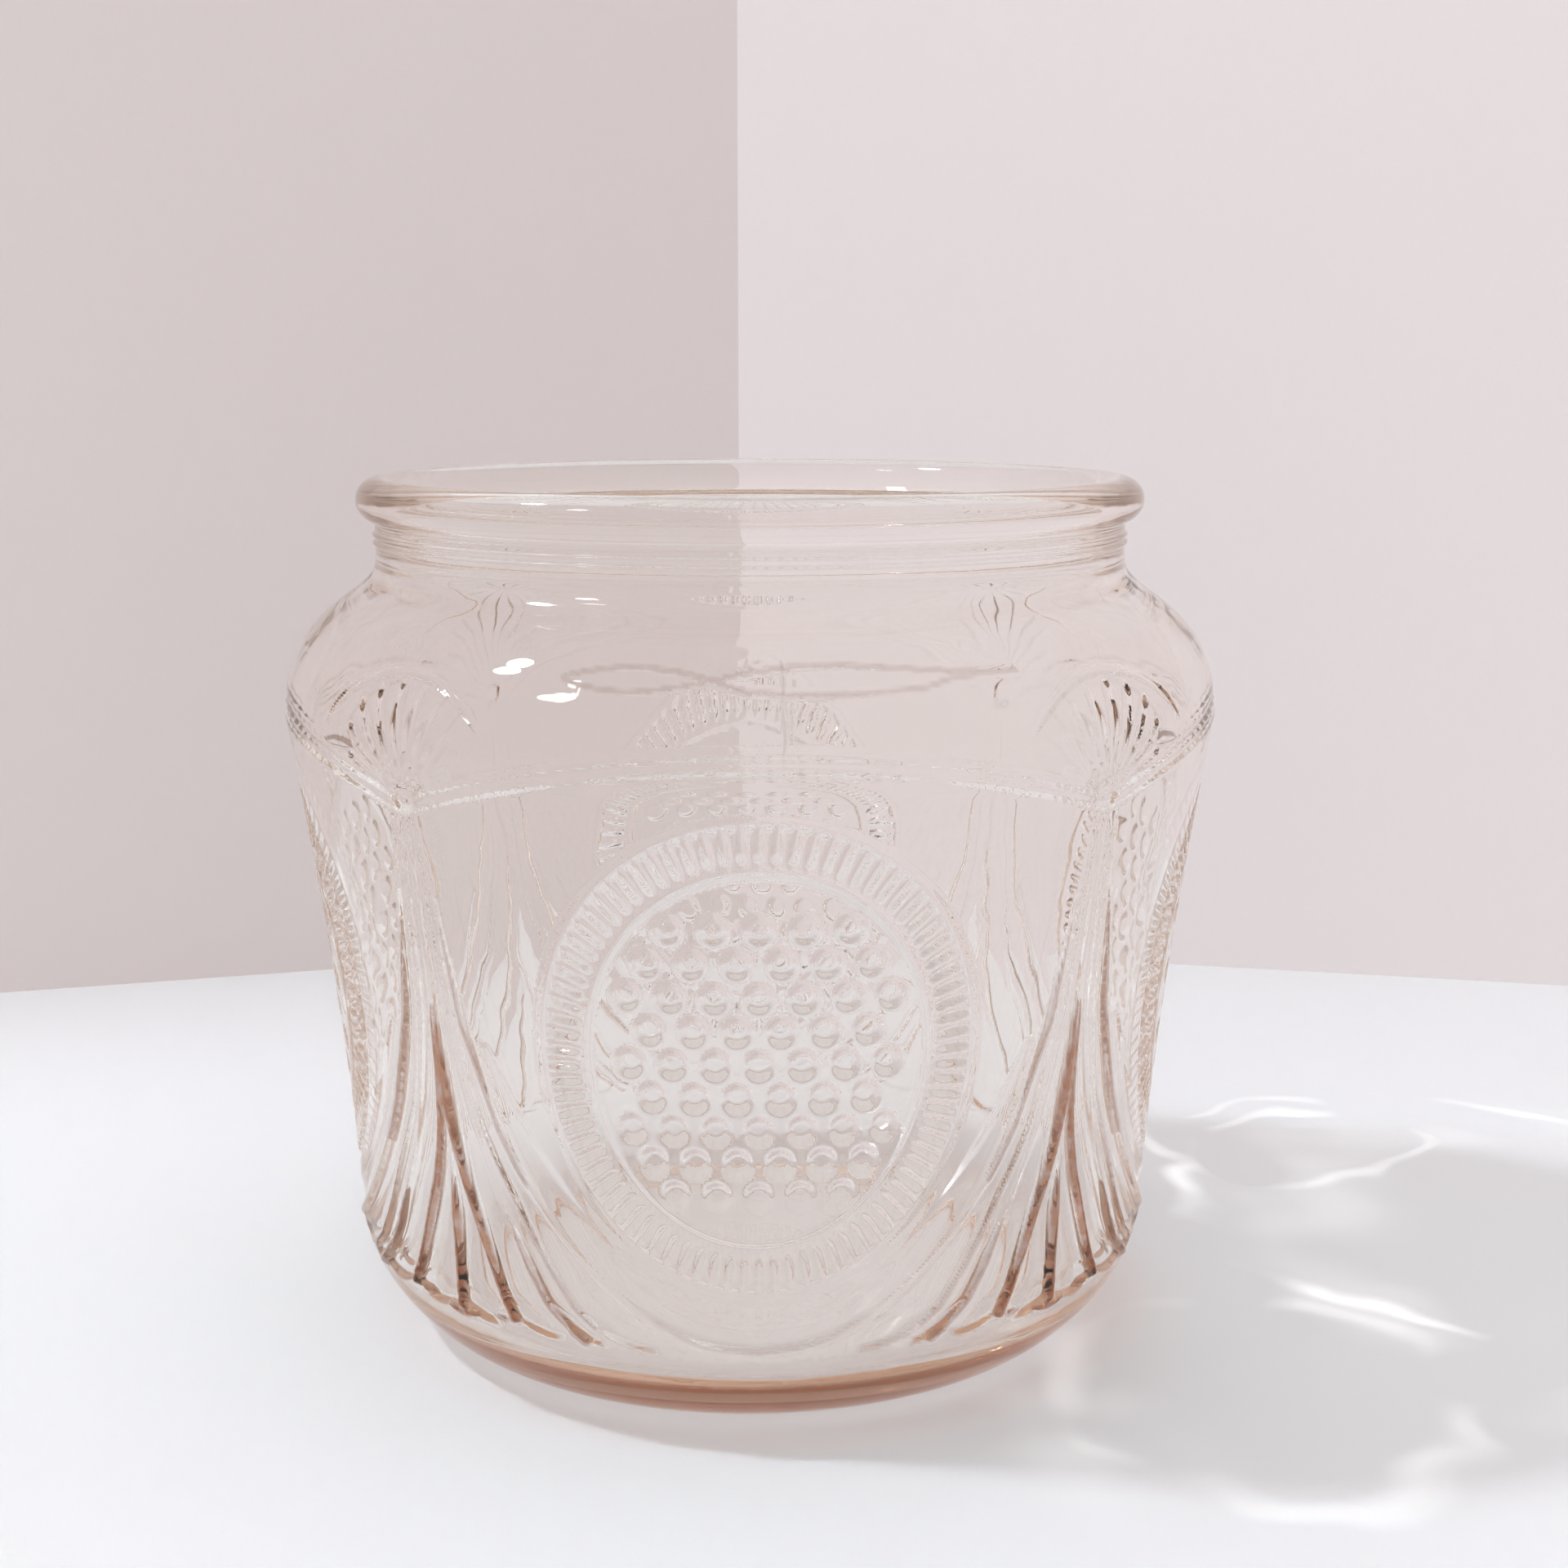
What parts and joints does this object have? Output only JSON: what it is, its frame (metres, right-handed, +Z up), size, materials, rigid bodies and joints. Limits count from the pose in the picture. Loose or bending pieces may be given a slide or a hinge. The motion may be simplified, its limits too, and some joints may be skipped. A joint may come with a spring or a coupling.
{
  "type": "glass jar",
  "caption": "Open wide-mouth jar of pale pink pressed glass: rolled rim, short neck, round shoulder, flared wall with grooved corner fans and low raised relief, heavy round base.",
  "frame": {"origin": "middle of the foot ring, at the height of the surface that the jar stands on", "axes": "+Z up along the jar's axis, with the middles of its four panels facing +X, -X, +Y and -Y"},
  "size_m": [0.1452, 0.1452, 0.133],
  "materials": {
    "pink_glass": "clear pale pink pressed glass, fire polished and glossy"
  },
  "bodies": {
    "root": {"glass_jar": "pink_glass"}
  },
  "joints": []
}
